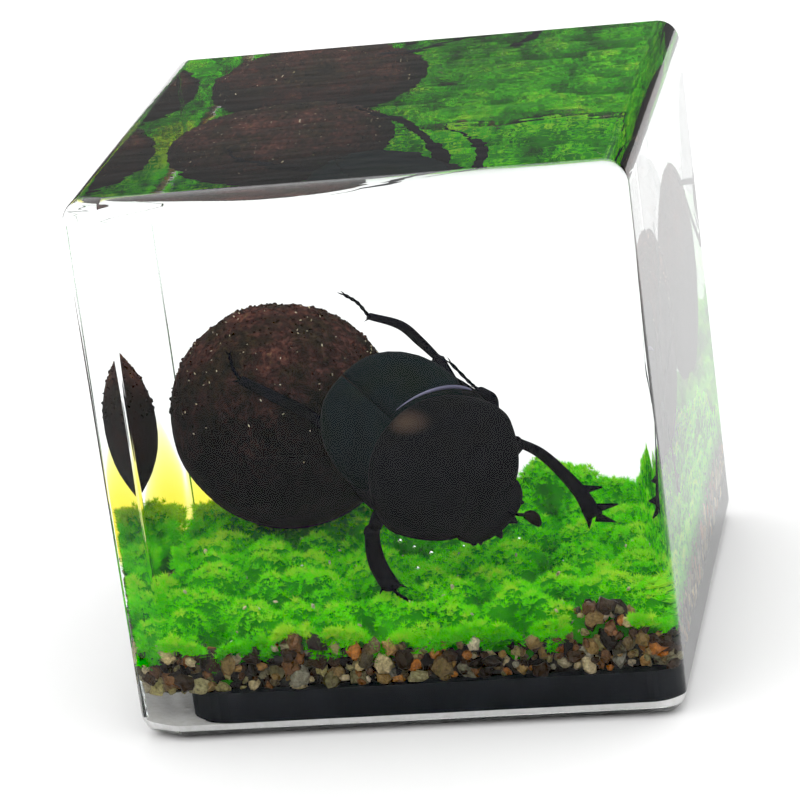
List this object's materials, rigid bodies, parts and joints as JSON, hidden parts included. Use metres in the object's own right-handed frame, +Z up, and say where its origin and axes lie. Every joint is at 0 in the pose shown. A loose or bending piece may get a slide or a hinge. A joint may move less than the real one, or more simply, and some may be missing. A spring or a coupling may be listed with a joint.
{
  "type": "insect in resin block",
  "caption": "Clear cast resin block, nearly a cube, with rounded edges, holding a dung beetle and its ball on moss and gravel over a black base layer.",
  "frame": {"origin": "middle of the flat underside that the block stands on", "axes": "+Z up; -Y is the front face, which the beetle is seen through; +X is to the viewer's right of it"},
  "size_m": [0.06, 0.0594, 0.0616],
  "materials": {
    "clear_resin": "polished clear casting resin",
    "beetle_shell": "black chitin, satin gloss",
    "dung_ball": "dry rough dung and soil",
    "moss": "dyed preserved moss",
    "gravel": "mixed natural gravel",
    "black_base": "black pigmented resin"
  },
  "bodies": {
    "root": {"resin_block": "clear_resin"}
  },
  "joints": []
}
